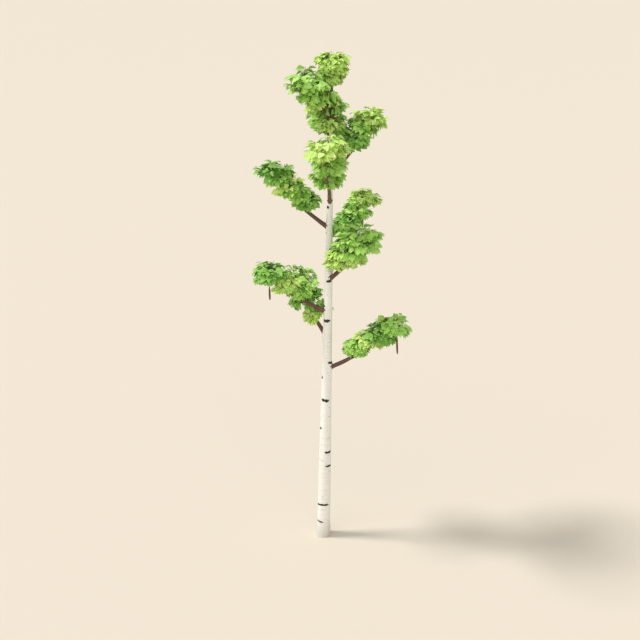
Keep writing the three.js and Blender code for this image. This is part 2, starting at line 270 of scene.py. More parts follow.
# Shaders.
class Wire:
    # one socket of a shader tree: sums on it add Math nodes
    def __init__(self, tree, socket=None):
        self.tree = tree
        self.socket = socket

    def node(self, kind, settings=None, values=None, out=0):
        # any node: its settings first, then the values or links of its sockets
        made = self.tree.nodes.new(kind)
        for key, value in (settings or {}).items():
            setattr(made, key, value)
        for key, value in (values or {}).items():
            if isinstance(value, Wire):
                self.tree.links.new(value.socket, made.inputs[key])
            else:
                made.inputs[key].default_value = value
        return Wire(self.tree, made.outputs[out] if made.outputs else None)

    def sum(self, operation, first, second=0.0):
        return self.node("ShaderNodeMath", {"operation": operation}, {0: first, 1: second})

    def __add__(self, other):
        return self.sum("ADD", self, other)

    def __radd__(self, other):
        return self.sum("ADD", other, self)

    def __sub__(self, other):
        return self.sum("SUBTRACT", self, other)

    def __rsub__(self, other):
        return self.sum("SUBTRACT", other, self)

    def __mul__(self, other):
        return self.sum("MULTIPLY", self, other)

    def __rmul__(self, other):
        return self.sum("MULTIPLY", other, self)

    def __abs__(self):
        return self.sum("ABSOLUTE", self)

    def cosine(self):
        return self.sum("COSINE", self)

    def most(self, other):
        return self.sum("MAXIMUM", self, other)

    def step(self, low, high):  # 0 below low, 1 above high, or the other way round
        values = {"Value": self, "From Min": low, "From Max": high}
        return self.node("ShaderNodeMapRange", {"interpolation_type": "SMOOTHSTEP"}, values)

    def paint(self, under, over):  # the wire is how much of the colour over covers the colour under
        values = {0: self, 6: under, 7: over}  # the factor and the two colours of a Mix node
        return self.node("ShaderNodeMix", {"data_type": "RGBA"}, values, 2)

    def cover(self, under, layer):  # paints a layer's colour, up to its share
        return (self * layer["share"]).paint(under, tone(*layer["colour"]))

    def coat(self, under, layer):  # the same, only where the wire passes the layer's edge
        return self.step(*layer["edge"]).cover(under, layer)

    def objectPlace(self):
        return self.node("ShaderNodeTexCoord", out="Object")

    def mapPlace(self, name):
        return self.node("ShaderNodeUVMap", {"uv_map": name})

    def carried(self, name):  # a number that the mesh carries at each point
        return self.node("ShaderNodeAttribute", {"attribute_name": name}, out="Fac")

    def axes(self):
        return [self.node("ShaderNodeSeparateXYZ", {}, {0: self}, k) for k in range(3)]

    def scaled(self, layer):  # a layer's grain is how fine its pattern is along each axis
        return self.node("ShaderNodeMapping", {}, {"Vector": self, "Scale": layer["grain"]})

    def cloud(self, layer):
        values = {"Vector": self.scaled(layer), "Scale": 1.0, "Detail": layer["detail"]}
        return self.node("ShaderNodeTexNoise", {}, values)

    def pores(self, layer):  # spots, each as large as its own chance says
        values = {"Vector": self.scaled(layer), "Scale": 1.0}
        away = self.node("ShaderNodeTexVoronoi", {}, values, "Distance")
        draw = self.node("ShaderNodeTexVoronoi", {}, values, "Color").axes()[0]
        return (draw * layer["vary"] + layer["least"] - away).step(0.0, layer["blur"])


def tone(red, green, blue):  # a colour as it is seen, 0 to 255, made linear by the screen's usual curve
    seen = np.array((red, green, blue)) / 255
    linear = np.where(seen <= 0.04045, seen / 12.92, ((seen + 0.055) / 1.055) ** 2.4)
    return (*linear.tolist(), 1.0)


def newFinish(name):
    finish = bpy.data.materials.new(name)
    finish.use_nodes = True
    finish.node_tree.nodes.clear()
    return finish, Wire(finish.node_tree)


def closeFinish(wire, colour, roughness, height=None, depth=0.001, strength=0.5, gloss=0.5):
    values = {"Base Color": colour, "Roughness": roughness, "Specular IOR Level": gloss}
    if height is not None:
        bump = {"Height": height, "Strength": strength, "Distance": depth}
        values["Normal"] = wire.node("ShaderNodeBump", {}, bump)
    shader = wire.node("ShaderNodeBsdfPrincipled", {}, values)
    wire.node("ShaderNodeOutputMaterial", {}, {"Surface": shader})


# Trunk and boughs: the rule of the solids.
trunk = dict(
    height=2.8, footDiameter=0.087, tipDiameter=0.017,
    flare=0.004, flareFall=0.06,
    lean=0.044, leanBack=0.011, bow=0.004,
)
bough = dict(
    shareOfTrunk=0.68, thinnest=0.013, thickest=0.026, tipDiameter=0.0055, taper=1.6,
    collar=0.3, collarFall=0.07,
    sag=0.36, sagAt=0.5,
    samples=41, bareSamples=12,
)

# name, height, azimuth, reach, rise, bare share, spread, and the shade of each spray going outwards
boughRows = [
    ("right_low", 1.134, -13, 0.426, 0.290, 0.34, 0.96, "mldm"),
    ("left_back", 1.335, 138, 0.258, 0.306, 0.20, 1.12, "ldm"),
    ("left_mid", 1.495, 191, 0.378, 0.243, 0.37, 0.94, "mld"),
    ("right_front", 1.695, -46, 0.286, 0.282, 0.30, 1.20, "llmm"),
    ("right_back", 1.871, 46, 0.329, 0.252, 0.21, 0.88, "mdml"),
    ("left_up", 2.005, 173, 0.345, 0.311, 0.31, 1.00, "dmld"),
    ("front", 2.157, -92, 0.467, 0.356, 0.33, 1.14, "mml"),
    ("right_up", 2.308, 36, 0.297, 0.295, 0.47, 1.00, "dml"),
    ("top_back", 2.457, 100, 0.190, 0.213, 0.33, 1.14, "dml"),
    ("top_left", 2.634, 218, 0.172, 0.195, 0.21, 1.14, "lmm"),
    ("leader", 2.800, -71, 0.018, 0.162, 0.00, 0.84, "lll"),
]
boughNames = [row[0] for row in boughRows]
boughHeight, boughAzimuth, boughReach, boughRise, boughBare, boughSpread = np.array(
    [row[1:7] for row in boughRows], float
).T
sprayShades = [row[7] for row in boughRows]
everyBough = np.arange(len(boughRows))[:, None]
isLeader = np.array([name == "leader" for name in boughNames])
limbNodes = ["bough_" + name for name in boughNames if name != "leader"]
massNodes = ["foliage_" + name for name in boughNames]


def trunkCentre(z):
    # a straight lean aside and back, and half a sine wave as the bow
    share = z / trunk["height"]
    x = trunk["lean"] * share + trunk["bow"] * np.sin(np.pi * share)
    return np.stack((x, trunk["leanBack"] * share, z), -1)


def trunkRadius(z):
    # a straight taper, and a flare that dies away above the foot
    diameter = mix(trunk["footDiameter"], trunk["tipDiameter"], z / trunk["height"])
    return diameter / 2 + trunk["flare"] * np.exp(-z / trunk["flareFall"])


boughStart = trunkCentre(boughHeight)
boughOut = compass(boughAzimuth) * boughReach[:, None]
boughEnd = boughStart + boughOut + upward * boughRise[:, None]
boughMiddle = boughStart + upward * (boughRise * bough["sag"])[:, None]
boughMiddle += boughOut * np.where(isLeader, 0, bough["sagAt"])[:, None]
boughPath = np.stack((boughStart, boughMiddle, boughEnd), 1)


def boughPoint(k, share):  # on the middle line of bough k
    return arc(boughPath[k], share)


def boughRadius(k, share):
    # the base diameter is a share of the trunk's, falls to the tip, and has a collar at the trunk
    wanted = 2 * trunkRadius(boughHeight[k]) * bough["shareOfTrunk"]
    base = np.clip(wanted, bough["thinnest"], bough["thickest"])
    base = np.where(isLeader[k], trunk["tipDiameter"], base)
    swell = 1 + np.where(isLeader[k], 0, bough["collar"]) * np.exp(-share / bough["collarFall"])
    return mix(base, bough["tipDiameter"], share ** bough["taper"]) / 2 * swell


boughShare = np.linspace(0, 1, bough["samples"])
boughLine = boughPoint(everyBough, boughShare)
boughLength = np.linalg.norm(np.diff(boughLine, axis=1), axis=-1).sum(1)

# Sprays: flat clouds along the leafy part of each bough, as in the solids.
spray = dict(
    innerRadius=0.084, outerRadius=0.111, flatness=0.68,
    innerLift=0.063, outerLift=0.030, sideStep=0.010,
    bareLead=0.085, leaderLead=0.42, last=0.93,
)
# their greens are partly painted light: the lower spray is light green to offset the shade of the crown
# above it, and the upper one is dark green where the light falls on it
young = dict(bough="top_back", heights=(2.60, 2.705), radius=0.08, firstOrder=3, shades="ld")


def shadeCodes(letters):  # light, mid or dark
    return np.array(["lmd".index(letter) for letter in letters])


def spraysOf(k):
    # even steps along bough k, lifted, shifted to both sides in turn, and wider going outwards
    i = np.arange(len(sprayShades[k]))
    order = i / (len(i) - 1)
    first = spray["leaderLead"] if isLeader[k] else boughBare[k] + spray["bareLead"]
    share = mix(first, spray["last"], order)
    lift = 0 * share if isLeader[k] else mix(spray["innerLift"], spray["outerLift"], share)
    side = spray["sideStep"] * np.where(i % 2 == 0, -1, 1) * (1 - order)
    centre = boughPoint(k, share) + upward * lift[:, None]
    centre = centre + compass(boughAzimuth[k] + 90) * side[:, None]
    radius = mix(spray["innerRadius"], spray["outerRadius"], order) * boughSpread[k]
    return np.full(len(i), k), i, centre, radius, shadeCodes(sprayShades[k])


def youngSprays():  # two more stand round the young top of the trunk, on twigs of the trunk itself
    i = np.arange(len(young["heights"]))
    bearer = np.full(len(i), boughNames.index(young["bough"]))
    centre = trunkCentre(np.array(young["heights"]))
    radius = np.full(len(i), young["radius"])
    return bearer, i + young["firstOrder"], centre, radius, shadeCodes(young["shades"])


sprayParts = [spraysOf(k) for k in range(len(boughRows))] + [youngSprays()]
sprayBough, sprayOrder, sprayCentre, sprayRadius, sprayShade = [
    np.concatenate(part) for part in zip(*sprayParts)
]
spraySize = np.stack((sprayRadius, sprayRadius, sprayRadius * spray["flatness"]), -1)


def sprayShare(k, points):  # 0 at the centre of spray k and 1 on its outside
    return np.linalg.norm((points - sprayCentre[k]) / spraySize[k], axis=-1)


def roomIn(k, start, end, limit):  # where a line starts in spray k, and how much of it keeps to a limit
    inner, outer = sprayShare(k, start), sprayShare(k, end)
    room = (limit - inner) / np.maximum(outer - inner, 1e-6)
    return inner, np.where(outer > limit, np.clip(room, 0, 1), 1)


def clearOfWood(points, margin):  # true where a point stays outside the trunk and the bare boughs
    z = np.clip(points[..., 2], 0, trunk["height"])
    off = np.linalg.norm((points - trunkCentre(z))[..., :2], axis=-1)
    clear = (off > trunkRadius(z) + margin) | (points[..., 2] > trunk["height"])
    for k in np.flatnonzero(~isLeader):
        share = np.linspace(0, boughBare[k], bough["bareSamples"])
        away = np.linalg.norm(points[..., None, :] - boughPoint(k, share), axis=-1)
        clear = clear & ((away - boughRadius(k, share)).min(-1) > margin)
    return clear


print("rule:", len(boughRows), "boughs,", len(sprayBough), "sprays")

# Twigs: from the stem to a place in the spray, then side shoots that carry the leaves.
twig = dict(
    perSpray=6, reach=0.72, lowest=-26, highest=68,
    forward=0.5, spacing=0.012, arch=0.1, sway=0.08,
    trunkFrom=2.4, steepness=0.7,
    clearance=0.003, samples=9, inBough=2, inTrunk=5,  # the first few samples may lie in the wood
    baseRadius=0.0024, tipRadius=0.0012, rings=10, sides=6,
)
shoot = dict(
    perTwig=5, first=0.26, last=0.86, wander=0.06,
    heading=(0.75, 0.95, 1), lift=(-0.25, 0.5),  # how much it goes ahead, sideways and up
    length=0.62, shorter=0.07, growth=(0.8, 1.15), outermost=1.0, leastRoom=0.25,
    sag=0.06, arch=0.08, clearance=0.003,
    baseRadius=0.0014, tipRadius=0.0008, rings=6, sides=5,
)


def growTwigs():
    # end = centre + reach * (a golden-angle turn, a rise that steps up), start = a place back along the stem
    k = np.repeat(np.arange(len(sprayBough)), twig["perSpray"])
    order = np.tile(np.arange(twig["perSpray"]), len(sprayBough))
    b = sprayBough[k]
    seed = (b + 1) * 101 + sprayOrder[k] * 23
    turn = goldenAngle * order + 360 * chance(seed)
    rise = np.radians(mix(twig["lowest"], twig["highest"], order / (twig["perSpray"] - 1)))[:, None]
    heading = compass(turn) * np.cos(rise) + upward * np.sin(rise)
    end = sprayCentre[k] + heading * twig["reach"] * spraySize[k]
    stemShare = mix(boughBare[:, None], 1, boughShare)
    stemLine = boughPoint(everyBough, stemShare)[b]
    away = np.linalg.norm(stemLine - end[:, None], axis=-1)
    nearest = stemShare[b, away.argmin(1)]
    share = nearest - twig["forward"] * away.min(1) / boughLength[b]
    spacing = twig["spacing"] / boughLength[b]
    earliest = boughBare[b] + spacing * (order + 1)
    latest = np.maximum(1 - spacing * (order + 0.5), earliest)
    share = np.clip(share, earliest, latest)
    sway = compass(360 * chance(seed + order * 3 + 0.7)) * twig["sway"]

    def bent(start):  # arched up and a little to one side
        length = np.linalg.norm(end - start, axis=-1, keepdims=True)
        middle = (start + end) / 2 + (upward * twig["arch"] + sway) * length
        return np.stack((start, middle, end), 1)

    def free(path, first):
        line = arc(path[:, None], np.linspace(0, 1, twig["samples"]))
        return clearOfWood(line[:, first:], twig["clearance"]).all(1)

    path = bent(boughPoint(b, share))
    crossing = ~free(path, twig["inBough"])
    # a twig that would cross the young top of the trunk starts on the trunk instead
    own = crossing & (boughHeight[b] > twig["trunkFrom"]) & ~isLeader[b]
    away = np.linalg.norm((end - trunkCentre(end[:, 2]))[:, :2], axis=-1)
    low = np.clip(end[:, 2] - twig["steepness"] * away, 0, trunk["height"])
    path = np.where(own[:, None, None], bent(trunkCentre(low)), path)
    keep = ~crossing | (own & free(path, twig["inTrunk"]))
    return only(keep, spray=k, share=np.where(own, -1, share), path=path)


def growShoots():
    # side shoots leave each twig left and right in turn, and shorten toward its tip
    count, each = len(twigs["spray"]), shoot["perTwig"]
    t = np.repeat(np.arange(count), each)
    order = np.tile(np.arange(each), count)
    k, path = twigs["spray"][t], twigs["path"][t]
    seed = 500 + np.arange(count * each) * 1.37
    share = mix(shoot["first"], shoot["last"], order / (each - 1)) + shoot["wander"] * swing(seed)
    start, ahead = arc(path, share), arcSlope(path, share)
    lift = upward * between(shoot["lift"], seed + 0.2)[:, None]
    heading = blend(shoot["heading"], ahead, sideways(ahead, order + t), lift)
    length = sprayRadius[k] * (shoot["length"] - shoot["shorter"] * order)
    length = (length * between(shoot["growth"], seed + 0.4))[:, None]
    _, room = roomIn(k, start, start + heading * length, shoot["outermost"])
    length = length * np.maximum(room, shoot["leastRoom"])[:, None]
    middle = start + heading * (0.5 * length) + upward * (shoot["arch"] * length)
    end = start + heading * length - upward * (shoot["sag"] * length)
    keep = clearOfWood(np.stack((middle, end), 1), shoot["clearance"]).all(1)
    return only(keep, spray=k, path=np.stack((start, middle, end), 1))


twigs = growTwigs()
shoots = growShoots()
print("grown:", len(twigs["spray"]), "twigs,", len(shoots["spray"]), "side shoots")

# Leaves: a toothed blade on a stalk, in turn left and right along every shoot.
leaf = dict(
    perTwig=7, perShoot=6, firstOnTwig=0.42, firstOnShoot=0.28, last=0.99, wander=0.05,
    length=(0.038, 0.053), angle=58, angleSpread=(0.85, 1.15),
    lastLength=0.85, lastAngle=0.2,  # the leaf at the very end is smaller and points ahead
    stalk=0.015, stalkSpread=(0.8, 1.15), stalkHeading=(1, 0.18, 0.22),  # to its side, up and at will
    stalkRadius=0.0007, stalkTaper=(1.25, 0.7), stalkSides=3, stalkInBlade=0.004,
    droop=0.7, droopSpread=(0.35, 1.5),
    bladeHeading=(0.75, 0.35, -1, 0.2),  # along the stalk, out of the spray, down by the droop and at will
    bladeFacing=(0.5, 0.9, 0.4),  # up, out of the spray and at will
    overhang=1.2, rootWithin=1.08, least=0.6, beyond=0.028, clearance=0.004,
    probes=((0, 0), (0.3, 0.4), (0.3, -0.4), (0.65, 0), (1, 0)),  # places on the blade that stay clear
    sections=5, crowding=1.08, footShape=0.5, tipShape=1.2, width=0.78, mapWidth=1.2,
    tooth=1.06, notch=0.95, toothAhead=0.022, notchBack=0.012,
    thickness=0.011, fold=(0.05, 0.34), bend=(0.02, 0.26), twist=0.22, wave=0.05, waves=7, pleat=0.04,
)


def growLeaves():
    # root = a place on the shoot + the stalk, and the blade runs on along a mix of the stalk's heading,
    # outwards and down
    counts = np.repeat((leaf["perTwig"], leaf["perShoot"]), (len(twigs["spray"]), len(shoots["spray"])))
    bearer = np.repeat(np.arange(len(counts)), counts)
    k, path = [np.concatenate((twigs[key], shoots[key]))[bearer] for key in ("spray", "path")]
    index = np.arange(len(bearer))
    order = (index - (np.cumsum(counts) - counts)[bearer]) / (counts[bearer] - 1)
    isLast = order == 1
    seed = 900 + index * 0.731
    first = np.where(bearer < len(twigs["spray"]), leaf["firstOnTwig"], leaf["firstOnShoot"])
    share = mix(first, leaf["last"], order) - np.where(isLast, 0, leaf["wander"] * chance(seed))
    node, ahead = arc(path, share), arcSlope(path, share)
    wild = np.stack((swing(seed + 1.1), swing(seed + 2.3), swing(seed + 3.7)), -1)
    opening = np.where(isLast, leaf["lastAngle"], between(leaf["angleSpread"], seed + 4.1))
    angle = np.radians(leaf["angle"] * opening)[:, None]
    heading = ahead * np.cos(angle) + sideways(ahead, index) * np.sin(angle)
    heading = blend(leaf["stalkHeading"], heading, upward, wild)
    root = node + heading * (leaf["stalk"] * between(leaf["stalkSpread"], seed + 5.3))[:, None]
    out = unit((root - sprayCentre[k]) / spraySize[k])
    droop = upward * (leaf["droop"] * between(leaf["droopSpread"], seed + 6.1))[:, None]
    along = blend(leaf["bladeHeading"], heading, out, droop, wild[:, [1, 2, 0]])
    face = squareTo(along, blend(leaf["bladeFacing"], upward, out, wild[:, [2, 0, 1]]))
    length = between(leaf["length"], seed + 7.9) * np.where(isLast, leaf["lastLength"], 1)
    inner, fit = roomIn(k, root, root + along * length[:, None], leaf["overhang"])
    length = length * fit
    forth, aside = np.array(leaf["probes"]).T[..., None]
    spots = along[:, None] * forth + np.cross(face, along)[:, None] * aside
    spots = root[:, None] + spots * length[:, None, None]
    low, high = [np.array(corner) for corner in cadBox]
    reached = ((spots > low - leaf["beyond"]) & (spots < high + leaf["beyond"])).all((1, 2))
    b = sprayBough[k]
    fromTrunk = spots - trunkCentre(np.clip(spots[..., 2], 0, trunk["height"]))
    ownSide = ((fromTrunk * compass(boughAzimuth[b])[:, None]).sum(-1) > 0).all(1)
    ownSide |= boughHeight[b] > twig["trunkFrom"]  # below the young top no leaf passes the trunk
    keep = (fit > leaf["least"]) & (inner < leaf["rootWithin"]) & reached & ownSide
    keep &= clearOfWood(spots, leaf["clearance"]).all(1)
    lines = dict(node=node, root=root, along=along, face=face)
    return only(keep, spray=k, bearer=bearer, length=length, seed=seed, **lines)


def leafTemplate():
    # half width at t is t^0.5 (1 - t)^1.2, 1 at its widest; every second point of the edge is a tooth
    n = leaf["sections"]
    t = np.linspace(0, 1, 2 * n + 1) ** leaf["crowding"]
    half = t ** leaf["footShape"] * (1 - t) ** leaf["tipShape"]
    tooth = np.arange(2 * n + 1) % 2 == 1
    half = half / half.max() * np.where(tooth, leaf["tooth"], leaf["notch"]) * leaf["width"] / 2
    edgeX = np.clip(t + np.where(tooth, leaf["toothAhead"], -leaf["notchBack"]), 0, 1)[1:-1]
    edgePleat = np.where(tooth[1:-1], -1, 1)
    ribX = t[2:-1:2]
    flatRib = np.zeros(n - 1)
    x = np.concatenate(((0, 1), ribX, ribX, edgeX, edgeX))
    y = np.concatenate(((0, 0), flatRib, flatRib, half[1:-1], -half[1:-1]))
    rib = np.concatenate(((0, 0), flatRib + 1, flatRib - 1, 0 * edgeX, 0 * edgeX))
    pleat = np.concatenate(((0, 0), flatRib, flatRib, edgePleat, edgePleat))

    def ribPoint(j, under):  # 0 is the foot of the blade and 1 is its tip
        return j // n if j in (0, n) else 2 + (n - 1) * under + j - 1

    def edgePoint(i, right):
        return i // (2 * n) if i in (0, 2 * n) else 2 * n + (2 * n - 1) * right + i - 1

    upper, lower = [], []
    for j in range(n):
        for right in (0, 1):
            for under, faces in ((0, upper), (1, lower)):
                first, last = ribPoint(j, under), ribPoint(j + 1, under)
                a, b, c = [edgePoint(2 * j + i, right) for i in range(3)]
                made = [(first, last, b), (first, b, a), (last, c, b)]
                made = [face for face in made if len(set(face)) == 3]
                faces += [face[::-1] if right != under else face for face in made]
    return dict(x=x, y=y, rib=rib, pleat=pleat, upper=np.array(upper), lower=np.array(lower))


leaves = growLeaves()
blade = leafTemplate()
print("grown:", len(leaves["spray"]), "leaves of", len(blade["upper"]) + len(blade["lower"]), "triangles")


def bladePoints(some):
    # root + length * (x along + y across + z face), where z folds up at the sides and bends down to the tip
    seed = some["seed"][:, None]
    fold, bend = between(leaf["fold"], seed + 11), between(leaf["bend"], seed + 12)
    twist, wave = leaf["twist"] * swing(seed + 13), leaf["wave"] * swing(seed + 14)
    x, y, wide = blade["x"], blade["y"], np.abs(blade["y"])
    z = fold * wide - bend * x ** 2 + twist * x * y
    z = z + wave * np.sin(leaf["waves"] * x + 6 * seed) * wide
    z = z + leaf["pleat"] * blade["pleat"] * wide + leaf["thickness"] / 2 * blade["rib"]
    along, face = some["along"][:, None], some["face"][:, None]
    across = np.cross(face, along)
    shape = x[None, :, None] * along + y[None, :, None] * across + z[..., None] * face
    return some["root"][:, None] + some["length"][:, None, None] * shape


def bladeStalks(some):  # thin tubes from the shoot to a little way into the blade
    inBlade = some["root"] + some["along"] * leaf["stalkInBlade"]
    paths = np.stack((some["node"], inBlade), 1)
    radii = np.array(leaf["stalkTaper"]) * leaf["stalkRadius"]
    return tubes(paths, radii, leaf["stalkSides"])


# Finishes of the leaves: a plain green with paler veins that follow the blade's own map.
shades = [
    dict(
        name="light", slot="leaf_light", under=(218, 243, 152),
        tints=[(212, 246, 128), (204, 242, 120), (220, 248, 140)],
    ),
    dict(
        name="mid", slot="leaf_mid", under=(192, 229, 134),
        tints=[(176, 227, 104), (168, 220, 98), (184, 233, 114)],
    ),
    dict(
        name="dark", slot="leaf_dark", under=(164, 208, 114),
        tints=[(144, 201, 86), (134, 193, 82), (154, 209, 96)],
    ),
]
vein = dict(
    pairs=6.0, slant=0.55, rib=(0.05, 0.012), side=(0.72, 1.0), sideFade=(0.95, 0.3), sideShare=0.7,
    pale=0.6, paleTone=232, paleShare=0.45, paleBlue=40, depth=0.0006,
)
leafSkin = dict(
    mottle=dict(grain=(9, 9, 9), detail=3.0, edge=(0.35, 0.75), share=0.3, darken=0.86),
    rim=dict(edge=(0.62, 1.0), share=0.25, darken=0.8),
    upperRough=0.42, underRough=0.62, mottleRough=0.12, mottleHeight=0.35, strength=0.6, gloss=0.4,
    stalkFoot=(128, 92, 62), stalkRough=0.5,
    stalkHead=dict(edge=(0.0, 0.6), share=1.0, colour=(158, 178, 84)),
    mapColumns=3, mapLevels=2, mapMargin=(0.02, 0.02),  # each finish has a cell of the baked map
)


def leafFinish(name, colour, roughness, rise):
    # side veins are the crests of cos(pairs * turn * (x - slant * |y|)), and the rib runs where y is 0
    finish, wire = newFinish(name)
    place = wire.mapPlace("blade")
    x, y, _ = place.axes()
    off = abs(y - 0.5) * 2
    line = (x - off * vein["slant"]) * (vein["pairs"] * fullTurn)
    lines = line.cosine().step(*vein["side"]) * off.step(*vein["sideFade"]) * vein["sideShare"]
    veins = off.step(*vein["rib"]).most(lines)
    mottle = place.cloud(leafSkin["mottle"])
    base = tone(*colour)
    for mask, layer in ((mottle, leafSkin["mottle"]), (off, leafSkin["rim"])):
        base = mask.coat(base, dict(layer, colour=[c * layer["darken"] for c in colour]))
    red, green = [mix(c, vein["paleTone"], vein["paleShare"]) for c in colour[:2]]
    base = (veins * vein["pale"]).paint(base, tone(red, green, colour[2] + vein["paleBlue"]))
    rough = roughness + mottle * leafSkin["mottleRough"]
    height = veins * rise + mottle * leafSkin["mottleHeight"]
    closeFinish(wire, base, rough, height, vein["depth"], leafSkin["strength"], leafSkin["gloss"])
    return finish


def stalkFinish():  # brown at the shoot and green at the blade
    finish, wire = newFinish("leafStalk")
    along = wire.mapPlace("blade").axes()[0]
    base = along.coat(tone(*leafSkin["stalkFoot"]), leafSkin["stalkHead"])
    closeFinish(wire, base, leafSkin["stalkRough"])
    return finish


def addLeaves(code, shade, stalk):
    # the template on every leaf of one shade: upper faces, lower faces, stalks
    some = only(sprayShade[leaves["spray"]] == code, **leaves)
    count, each, tints = len(some["spray"]), len(blade["x"]), len(shade["tints"])
    shift = (np.arange(count) * each)[:, None, None]
    upper = (blade["upper"][None] + shift).reshape(-1, 3)
    lower = (blade["lower"][None] + shift).reshape(-1, 3)
    stalks = bladeStalks(some)
    flatPlace = np.stack((blade["x"], 0.5 + blade["y"] / leaf["width"] / leaf["mapWidth"]), -1)
    places = np.tile(flatPlace, (count, 1))
    bladeMap = np.concatenate((places[upper], places[lower], stalks["places"][..., ::-1]))
    tint = np.floor(chance(some["bearer"] * 2.17 + 40) * tints).astype(int)
    under, stem = np.full(len(lower), tints), np.full(len(stalks["faces"]), tints + 1)
    cell = np.concatenate((np.repeat(tint, len(blade["upper"])), under, stem))
    columns, levels = leafSkin["mapColumns"], leafSkin["mapLevels"]
    bakedMap = cellMap(bladeMap, cell % columns, columns, cell // columns, levels, leafSkin["mapMargin"])
    finishes = [
        leafFinish(shade["name"] + "Leaf" + str(k + 1), colour, leafSkin["upperRough"], -1.0)
        for k, colour in enumerate(shade["tints"])
    ]
    finishes += [leafFinish(shade["name"] + "LeafUnder", shade["under"], leafSkin["underRough"], 1.0), stalk]
    edge = np.concatenate((np.tile(blade["rib"] == 0, count), np.zeros(len(stalks["points"]), bool)))
    shell = dict(
        points=np.concatenate((bladePoints(some).reshape(-1, 3), stalks["points"])),
        faces=np.concatenate((upper, lower, stalks["faces"] + count * each)),
    )
    piece = addPiece(
        "leaves_" + shade["name"],
        shell,
        finishes,
        worn=cell,
        maps={"blade": bladeMap, "OFBake": bakedMap},
        crease=edge,
    )
    carried = sorted({massNodes[b] for b in sprayBough[some["spray"]]})
    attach(piece, "root")
    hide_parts(*carried)


stalkGreen = stalkFinish()
for code, shade in enumerate(shades):
    addLeaves(code, shade, stalkGreen)

# Bark of the trunk: relief and dark scars on one grid of height and angle.
bark = dict(
    around=96, rings=800, fullAt=0.3,  # the height where the relief has its full size
    lobes=0.0011, lobeWaves=(7, 1.5, 9, 3.0),  # number, slowest and quickest pitch, and seed
    skin=0.00035, skinWaves=(9, 60, 190, 21.0),
    buttress=0.003, buttressFall=0.05, grain=0.00022,
    mapColumns=3, mapMargin=(0.03, 0.0),
    white=(247, 246, 241),
    sheets=dict(grain=(9, 9, 120), detail=4.0, edge=(0.35, 0.75), share=1.0, colour=(240, 236, 226)),
    stain=dict(grain=(8, 8, 14.4), detail=4.0, edge=(0.55, 0.8), share=0.3, colour=(228, 213, 194)),
    fine=dict(grain=(60, 60, 420), detail=2.0, edge=(0.55, 0.8), share=0.3, colour=(214, 208, 195)),
    foot=dict(edge=(0.16, 0.0), colour=(148, 134, 112)),
    pores=dict(grain=(26, 26, 105), vary=0.2, least=0.03, blur=0.05, share=0.7, colour=(112, 98, 84)),
    young=dict(edge=(2.46, 2.66), fray=0.16, share=1.0, colour=(112, 78, 62)),
    black=dict(edge=(0.3, 0.6), fray=0.5, colour=(42, 38, 33)),
    worn=dict(share=0.8, colour=(84, 76, 66)),
    footShare=(0.1, 0.6), rough=(0.52, 0.64), scarRough=0.3,
    heights=(0.35, 0.5, 0.5, -0.2),  # of the sheets, the fine lines, the pores and the scars
    depth=0.0012, strength=0.6, gloss=0.35,
)
scar = dict(
    depth=0.0012, ragged=0.5, sunk=0.55, edge=(0.72, 1.05),
    lip=0.0010, lipAt=1.25, lipWidth=0.35,
    bow=0.0015, fullness=0.6,
    wobbles=((0.16, 9, 40), (0.1, 23, 90)),  # size, waves round the trunk, and shift with the height
)
collar = dict(
    slope=0.72, measuredAt=0.08, swell=0.42, swellWidth=1.25, swellHeight=0.75,
    lineAt=1.55, lineFall=0.9, lineWidth=0.0042, lineFull=1.1, lineEnd=1.9,
    lineShade=0.95, lineLift=0.0006, lineRagged=0.0004,
)

# height, azimuth, angle across, and height of each dark scar on the side that faces the camera
scarRows = [
    (0.110, -128, 84, 0.010),
    (0.228, -108, 150, 0.012),
    (0.495, -49, 80, 0.013),
    (0.590, -56, 84, 0.014),
    (0.748, -165, 60, 0.012),
    (0.936, -107, 105, 0.018),
    (1.080, -172, 66, 0.015),
    (1.180, -43, 80, 0.014),
    (1.446, -111, 115, 0.017),
    (1.536, -168, 70, 0.014),
    (1.691, -87, 84, 0.015),
    (1.791, -176, 60, 0.012),
    (1.882, -49, 95, 0.019),
    (1.981, -178, 60, 0.010),
    (2.131, -150, 100, 0.016),
]
backScars = dict(
    count=20, heights=(0.14, 2.45), azimuths=(12, 158), across=(45, 120), tall=(0.009, 0.018), seed=61,
)


def allScars():  # the rows, and drawn ones on the side that faces away
    i = np.arange(backScars["count"])
    seed = backScars["seed"] + i * 1.9
    height = mix(*backScars["heights"], (i + 0.3 + 0.5 * chance(seed)) / len(i))
    azimuth = between(backScars["azimuths"], seed + 0.3)
    across = between(backScars["across"], seed + 0.6)
    tall = between(backScars["tall"], seed + 0.9)
    return np.concatenate((np.array(scarRows), np.stack((height, azimuth, across, tall), -1)))


def scarShape(z, angle, height, azimuth, across, tall):
    # a lens with a wobbling edge, |b| / (1 - a^4) = 1, where a and b are the places across and up,
    # and a lip that is highest a little outside that edge
    a = turnFrom(azimuth, angle) / math.radians(across / 2)
    b = (z - height - scar["bow"] * np.sin(3 * a + height * 30)) / (scar["fullness"] * tall)
    wobble = sum(size * np.sin(waves * angle + height * shift) for size, waves, shift in scar["wobbles"])
    lens = np.where(np.abs(a) < 1, np.abs(b) / np.maximum(1 - a ** 4, 0.001), np.inf) + wobble
    inside = 1 - step(*scar["edge"], lens)
    lip = np.exp(-(((lens - scar["lipAt"]) / scar["lipWidth"]) ** 2))
    return inside, lip


